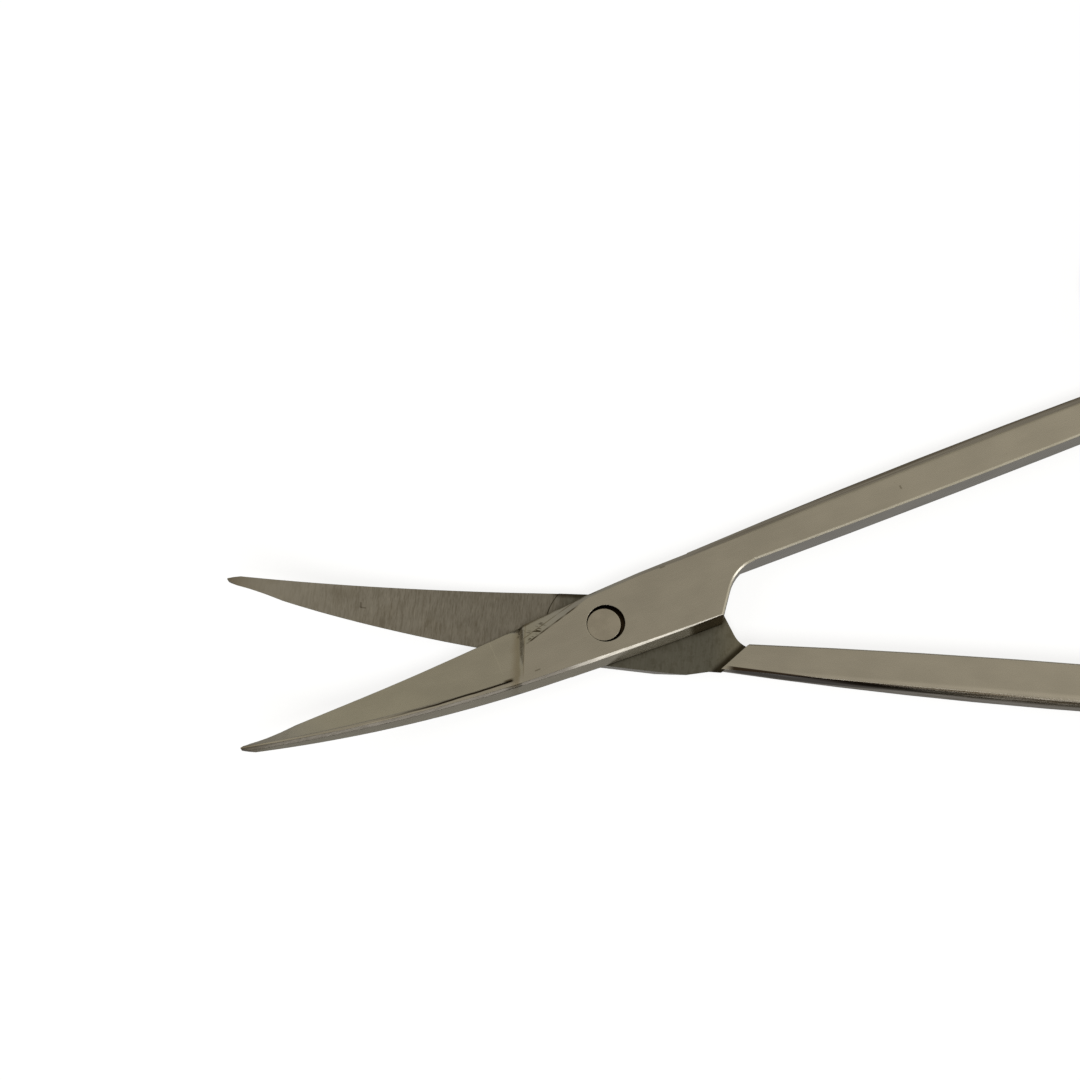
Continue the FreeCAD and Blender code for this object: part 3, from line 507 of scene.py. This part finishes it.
class Steel:
    """A half's steel: its grain, its ground faces, the painted shade in its hollows and its small marks."""

    def __init__(self, name, hand):
        self.material = bpy.data.materials.new(name)
        self.nodes = Nodes(self.material)
        self.hand = hand
        nodes = self.nodes
        source = nodes.add("TexCoord").outputs
        place = nodes.vector("MULTIPLY", source["Object"], TO_MM)
        self.place = self.own_frame(nodes.vector("SUBTRACT", place, (0, 0, PIVOT_HEIGHT)))
        split = nodes.add("SeparateXYZ", {"Vector": self.place}).outputs
        self.x, self.y, self.z = split["X"], split["Y"], split["Z"]
        split = nodes.add("SeparateXYZ", {"Vector": self.own_frame(source["Normal"])}).outputs
        self.out_y, self.out_z = split["Y"], split["Z"]
        self.inward = nodes.fade(self.out_z, TURNED_IN)
        self.outward = nodes.smooth(self.out_z, TURNED_OUT)
        self.shank = nodes.fade(self.x, SHANK_END)
        self.colour = None

    def own_frame(self, vector):
        turned = self.nodes.turned(vector, -HALF_OPEN * self.hand)
        return self.nodes.vector("MULTIPLY", turned, (1, self.hand, self.hand))

    def along(self, span):
        return self.nodes.smooth(self.x, span)

    def across(self, span):
        return self.nodes.smooth(self.y, span)

    def through(self, span):
        return self.nodes.smooth(self.z, span)

    def darken(self, multiplier, *masks):
        """Less light where all masks are 1, or more of it with a multiplier above 1."""
        self.colour = self.nodes.tint(self.colour, self.nodes.product(*masks), multiplier)

    def paint_base(self):
        nodes = self.nodes
        darker, lighter = ((*(tone * part for part in STEEL), 1) for tone in TONES)
        self.colour = nodes.mix(nodes.patches(self.place, **CLOUDS), darker, lighter)
        self.darken(SPECK_TINT, nodes.patches(self.place, **SPECKS))

    def paint_inner_faces(self):
        """The blade's inner face is ground across, and the ride face is darker."""
        nodes = self.nodes
        start = nodes.math("ADD", self.x, nodes.wobble(self.place, **RIDE_WOBBLE))
        joint = nodes.product(self.inward, nodes.smooth(start, RIDE_START), self.through(RIDE_HEIGHT))
        blade = nodes.product(self.inward, nodes.smooth(start, BLADE_START))
        self.ground = nodes.math("MAXIMUM", blade, joint)
        coarse = nodes.scaled(nodes.noise(self.place, **COARSE_GRINDING), COARSE_SHARE)
        fine = nodes.scaled(nodes.noise(self.place, **FINE_GRINDING), FINE_SHARE)
        self.grinding = nodes.sum(coarse, fine)
        worn = nodes.smooth(self.x, WORN_POINT, WORN_POINT_LEFT, 1.0)
        self.darken(BLADE_TINT, blade)
        self.darken(DARK_GRIND_TINT, blade, nodes.smooth(self.grinding, DARK_GRIND), worn)
        self.darken(LIGHT_GRIND_TINT, blade, nodes.smooth(self.grinding, LIGHT_GRIND), worn)
        self.darken(BLADE_PATCH_TINT, blade, nodes.patches(self.place, **BLADE_PATCHES))
        self.darken(RIDE_TINT, joint)
        self.darken(RIDE_REAR_TINT, joint, self.along(RIDE_REAR))
        self.darken(RIDE_GRIND_TINT, joint, nodes.smooth(self.grinding, RIDE_GRIND))
        self.darken(RIDE_MOTTLE_TINT, joint, nodes.patches(self.place, **RIDE_MOTTLE))
        radius = nodes.radius(self.x, self.y)
        relief = nodes.line(radius, RELIEF_RADIUS, RELIEF_HALF_WIDTH, RELIEF_SOFT)
        self.darken(RELIEF_TINT, self.inward, relief, self.along(RELIEF_END))
        stain = nodes.product(self.across(EDGE_STAIN_ACROSS), nodes.smooth(start, EDGE_STAIN_START))
        self.darken(EDGE_STAIN_TINT, stain, self.inward, self.along(EDGE_STAIN_END))
        self.darken(TIP_TINT, self.along(TIP))

    def paint_step_shade(self):
        """Painted shade in the hollow at the foot of the step."""
        nodes = self.nodes
        run = STEP_FAR[0] - STEP_NEAR[0]
        fall = STEP_NEAR[1] - STEP_FAR[1]
        length = math.hypot(run, fall)
        along_x = nodes.scaled(self.x, -fall / length, STEP_NEAR[0] * fall / length)
        along_y = nodes.scaled(self.y, -run / length, STEP_NEAR[1] * run / length)
        before = nodes.math("ADD", along_x, along_y)
        hollow = nodes.product(nodes.smooth(before, STEP_FRONT), nodes.fade(before, STEP_FADE))
        height = nodes.product(self.through(STEP_BOTTOM), self.through(STEP_TOP))
        # Painted shade: darker in the hollow at the step's foot.
        self.darken(STEP_SHADE_TINT, hollow, height, self.along(STEP_START))

    def paint_bevels(self):
        """The shank's bevels with their streaks, painted shade on the spine's bevel, painted light on the
        joint's wall and a painted dark reflection on the wall further back.
        """
        nodes = self.nodes
        sideways = nodes.smooth(self.out_y, SIDEWAYS)
        behind_joint = nodes.product(self.along(BEHIND_JOINT), self.shank)
        self.darken(BEVEL_TINT, sideways, behind_joint)
        self.darken(BEVEL_STREAK_TINT, sideways, behind_joint, nodes.patches(self.place, **BEVEL_STREAKS))
        ridge = nodes.product(self.through(RIDGE_TOP), self.through(RIDGE_BOTTOM))
        self.darken(RIDGE_TINT, sideways, ridge, self.along(RIDGE_START), self.shank)
        spine = nodes.smooth(self.out_y, SPINE_SIDE)
        bevel = nodes.product(spine, nodes.smooth(self.out_z, SPINE_BEVEL_TURN))
        # Painted shade: the spine's bevel is darkened so that the room's bright window does not shine in it
        # along the blade.
        self.darken(SPINE_BEVEL_SHADE_TINT, bevel, self.along(SPINE_BEVEL_START))
        wall = nodes.product(spine, nodes.smooth(self.out_z, SPINE_WALL_TURN))
        # Painted light: the joint's wall is made lighter where the room it mirrors is too dark.
        self.darken(WALL_LIGHT_TINT, wall, self.along(WALL_LIGHT_START), self.along(WALL_LIGHT_END))
        # Painted reflection: the wall further back is darkened where it mirrors the lower half's dark ride
        # face.
        self.darken(WALL_DARK_REFLECTION_TINT, wall, self.along(WALL_DARK_REFLECTION_START), self.along(WALL_DARK_REFLECTION_END))

    def paint_dark_side(self):
        """The lower half's side under its top edge, almost black beside the joint and streaked behind."""
        nodes = self.nodes
        side = nodes.product(nodes.smooth(self.out_y, DARK_SIDE_TURN), self.along(DARK_SIDE_START))
        drop = nodes.smooth(self.x, DARK_SIDE_DROP, 0.0, DARK_SIDE_DROP_HEIGHT)
        low = nodes.math("ADD", self.z, drop)
        under = nodes.product(side, nodes.smooth(low, DARK_SIDE_TOP), self.shank)
        near = nodes.fade(self.x, DARK_SIDE_NEAR)
        self.darken(BLACK_SIDE_TINT, under, near)
        self.darken(SIDE_STREAK_TINT, under, nodes.rest(near), nodes.patches(self.place, **SIDE_STREAKS))
        past_edge = nodes.math("SUBTRACT", self.y, nodes.scaled(self.x, STRIP_SLOPE, STRIP_OFFSET))
        strip = nodes.product(nodes.smooth(past_edge, STRIP_EDGE), self.through(STRIP_HEIGHT))
        self.darken(BLACK_SIDE_TINT, strip, self.along(STRIP_START), self.along(STRIP_END))
        # Painted highlight along the rounded rim of the shank's top face.
        rim = nodes.product(self.inward, self.across(RIM_HIGHLIGHT_ACROSS), self.through(RIM_HIGHLIGHT_HEIGHT))
        self.darken(RIM_HIGHLIGHT_TINT, rim, self.along(RIM_HIGHLIGHT_START))

    def paint_heel(self):
        """The hollow where the ground bevel begins: painted brown shade, with a few black spots at its
        outer end.
        """
        nodes = self.nodes
        blade = nodes.product(self.outward, self.along(HEEL_BLADE))
        slant = nodes.scaled(self.y, -HEEL_SKEW, HEEL_PLACE)
        past_line = nodes.math("SUBTRACT", nodes.math("MULTIPLY", self.x, -1.0), slant)
        past = nodes.math("ADD", past_line, nodes.wobble(self.place, **HEEL_WOBBLE))
        # Painted shade in the hollow behind the heel line.
        stain = nodes.product(nodes.smooth(past, HEEL_SHADE_START), nodes.fade(past, HEEL_SHADE_END))
        self.hollow = nodes.product(nodes.smooth(past, HOLLOW_START), nodes.fade(past, HOLLOW_END), blade)
        ridge = nodes.product(self.across(SOFT_RIDGE_ACROSS), self.along(SOFT_RIDGE_START), self.shank)
        self.soft = nodes.math("MAXIMUM", self.hollow, nodes.product(ridge, SOFT_RIDGE_SHARE))
        self.darken(HEEL_SHADE_TINT, stain, blade)
        outer_end = nodes.product(self.across(SPOTS_INNER), self.across(SPOTS_OUTER))
        near = nodes.product(nodes.smooth(past, SPOTS_START), nodes.fade(past, SPOTS_END))
        self.darken(HEEL_SPOT_TINT, nodes.patches(self.place, **HEEL_SPOTS), outer_end, near, blade)
        line = nodes.line(past_line, 0.0, HEEL_LINE_HALF_WIDTH, HEEL_LINE_SOFT)
        self.darken(HEEL_LINE_TINT, line, blade, self.across(HEEL_LINE_ACROSS))

    def paint_shoulder_line(self):
        """The dark line along the ground bevel's shoulder, strongest at the heel."""
        nodes = self.nodes
        past = nodes.scaled(self.x, -1.0, -SHOULDER_START)
        slope = nodes.scaled(past, SHOULDER_CURVE, SHOULDER_SLOPE)
        place = nodes.math("MULTIPLY_ADD", past, slope, SHOULDER_OFFSET)
        wobble = nodes.wobble(self.place, **SHOULDER_WOBBLE)
        away = nodes.math("ADD", nodes.math("SUBTRACT", self.y, place), wobble)
        line = nodes.line(away, SHOULDER_AWAY, SHOULDER_HALF_WIDTH, SHOULDER_SOFT)
        fading = nodes.fade(past, SHOULDER_FADE, SHOULDER_LEFT)
        self.darken(SHOULDER_TINT, line, nodes.smooth(past, SHOULDER_HEEL), fading, self.outward)
        end = nodes.product(nodes.line(past, *SHOULDER_END_ALONG), nodes.line(away, *SHOULDER_END_ACROSS))
        self.darken(SHOULDER_END_TINT, end, self.outward)

    def paint_wedge(self):
        """The facet beside the heel: dark edges and a few rough strokes across it, and painted shade along
        the joint's outer rim.
        """
        nodes = self.nodes
        inside = nodes.math("SUBTRACT", self.y, nodes.scaled(self.x, WEDGE_SLOPE, WEDGE_OFFSET))
        span = nodes.product(self.along(WEDGE_START), self.along(WEDGE_END))
        noise = nodes.noise(self.place, **WEDGE_UNEVEN)
        uneven = nodes.smooth(noise, WEDGE_UNEVEN_SPAN, WEDGE_UNEVEN_LEAST, 1.0)
        for tint, line in ((WEDGE_BORDER_TINT, WEDGE_BORDER_LINE), (WEDGE_INNER_TINT, WEDGE_INNER_LINE)):
            self.darken(tint, nodes.line(inside, *line), span, uneven, self.outward)
        leaning = nodes.turned(self.place, STROKE_LEAN)
        patch_x = nodes.product(self.along(STROKES_START), self.along(STROKES_END))
        patch_y = nodes.product(nodes.smooth(inside, STROKES_INNER), nodes.smooth(inside, STROKES_OUTER))
        strokes = nodes.patches(leaning, **WEDGE_STROKES)
        self.darken(WEDGE_STROKE_TINT, strokes, patch_x, patch_y, self.outward)
        # Painted shade along the joint's outer rim, where its side lies in shadow.
        curved = nodes.math("ADD", self.y, nodes.scaled(nodes.product(self.x, self.x), JOINT_RIM_CURVE))
        span = nodes.product(self.along(JOINT_RIM_START), self.along(JOINT_RIM_END))
        self.darken(JOINT_RIM_SHADE_TINT, nodes.smooth(curved, JOINT_RIM_ACROSS), span, uneven, self.outward)

    def paint_recess_shade(self):
        """Painted shade, black in the recess round the pin."""
        nodes = self.nodes
        inside = nodes.smooth(nodes.radius(self.x, self.y), RECESS_EDGE)
        self.darken(RECESS_SHADE_TINT, inside, self.through(RECESS_TOP), self.through(RECESS_BOTTOM))

    def paint_marks(self, marks):
        """Small dark nicks on the face turned up, each with its place, its size and the light it leaves."""
        nodes = self.nodes
        up = nodes.smooth(self.out_z, [self.hand * part for part in TURNED_UP])
        for x, y, long, wide, left in marks:
            lengthwise = nodes.line(self.x, x, long / 2, MARK_SOFT)
            crosswise = nodes.line(self.y, y, wide / 2, MARK_SOFT)
            self.darken((left, left * MARK_GREEN, left * MARK_BLUE), lengthwise, crosswise, up)

    def paint_crevice_shade(self):
        """Soft painted shade where two faces meet or nearly touch, from ambient occlusion."""
        nodes = self.nodes
        open_sky = nodes.add("AmbientOcclusion", {"Distance": CREVICE_REACH}, samples=6).outputs["AO"]
        outside_hollow = nodes.scaled(self.hollow, -CREVICE_HOLLOW_SHARE, 1.0)
        self.darken(CREVICE_SHADE_TINT, nodes.fade(open_sky, CREVICE_SPAN), outside_hollow)

    def finish(self):
        nodes = self.nodes
        brushed = nodes.noise(self.place, **BRUSHING)
        brush = nodes.product(brushed, nodes.rest(self.ground), BRUSH_HEIGHT)
        grind = nodes.product(self.grinding, self.ground, GRIND_HEIGHT)
        scratch = nodes.scaled(nodes.patches(self.place, **SCRATCHES), SCRATCH_HEIGHT)
        height = nodes.sum(brush, grind, scratch)
        radius = nodes.scaled(self.soft, HEEL_ROUND * MM, EDGE_ROUND * MM)
        edge = nodes.add("Bevel", {"Radius": radius}, samples=8).outputs[0]
        relief = {"Strength": BUMP_STRENGTH, "Distance": BUMP_DISTANCE, "Height": height, "Normal": edge}
        bump = nodes.add("Bump", relief).outputs[0]
        satin = nodes.smooth(brushed, BRUSH_SPAN, SMOOTHEST, ROUGHEST)
        rough = nodes.sum(satin, nodes.scaled(self.ground, GROUND_ROUGHER))
        inputs = {"Base Color": self.colour, "Metallic": 1.0, "Roughness": rough, "Normal": bump}
        shader = nodes.add("BsdfPrincipled", inputs).outputs[0]
        nodes.add("OutputMaterial", {"Surface": shader})
        return self.material


def half_steel(name, hand, marks):
    steel = Steel(name, hand)
    steel.paint_base()
    steel.paint_inner_faces()
    steel.paint_step_shade()
    steel.paint_bevels()
    if hand < 0:
        steel.paint_dark_side()
    steel.paint_heel()
    steel.paint_shoulder_line()
    steel.paint_wedge()
    steel.paint_recess_shade()
    steel.paint_marks(marks)
    steel.paint_crevice_shade()
    return steel.finish()


SCREW_DARK, SCREW_LIGHT = (0.58, 0.55, 0.51, 1), (0.64, 0.61, 0.57, 1)
PIN_SIDE = (PIN_RADIUS - 0.03, PIN_RADIUS - 0.01)
PIN_BELOW = (PIVOT_HEIGHT + 1.58, PIVOT_HEIGHT + 1.52)
RING_PITCH = 0.12
RING_STRENGTH = 0.3
RING_DISTANCE = 0.001 * MM
SCREW_SMOOTHEST, SCREW_ROUGHEST = 0.22, 0.30


def screw_steel():
    """The screw: turned steel with fine rings, a little browner than the halves, with painted shade on the
    pin's side down in the recess.
    """
    material = bpy.data.materials.new("screw_steel")
    nodes = Nodes(material)
    place = nodes.vector("MULTIPLY", nodes.add("TexCoord").outputs["Object"], TO_MM)
    split = nodes.add("SeparateXYZ", {"Vector": place}).outputs
    radius = nodes.radius(split["X"], split["Y"])
    cloud = nodes.patches(place, **SCREW_CLOUDS)
    # Painted shade on the pin's side, down in the recess.
    side = nodes.product(nodes.smooth(radius, PIN_SIDE), nodes.smooth(split["Z"], PIN_BELOW))
    colour = nodes.tint(nodes.mix(cloud, SCREW_DARK, SCREW_LIGHT), side, PIN_SIDE_SHADE_TINT)
    rings = nodes.math("SINE", nodes.scaled(radius, 2 * math.pi / RING_PITCH))
    edge = nodes.add("Bevel", {"Radius": EDGE_ROUND * MM}, samples=6).outputs[0]
    relief = {"Strength": RING_STRENGTH, "Distance": RING_DISTANCE, "Height": rings, "Normal": edge}
    bump = nodes.add("Bump", relief).outputs[0]
    rough = nodes.smooth(cloud, (0.0, 1.0), SCREW_SMOOTHEST, SCREW_ROUGHEST)
    inputs = {"Base Color": colour, "Metallic": 1.0, "Roughness": rough, "Normal": bump}
    shader = nodes.add("BsdfPrincipled", inputs).outputs[0]
    nodes.add("OutputMaterial", {"Surface": shader})
    return material


def dress(node, material):
    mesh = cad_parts[node].data
    mesh.materials.clear()
    mesh.materials.append(material)


make_camera()
make_world()
make_floor()
for lamp in LAMPS:
    make_lamp(*lamp)
dress("upper_half", half_steel("upper_steel", 1, UPPER_MARKS))
dress("lower_half", half_steel("lower_steel", -1, LOWER_MARKS))
dress("pivot_screw", screw_steel())
scene.view_settings.view_transform = "Standard"
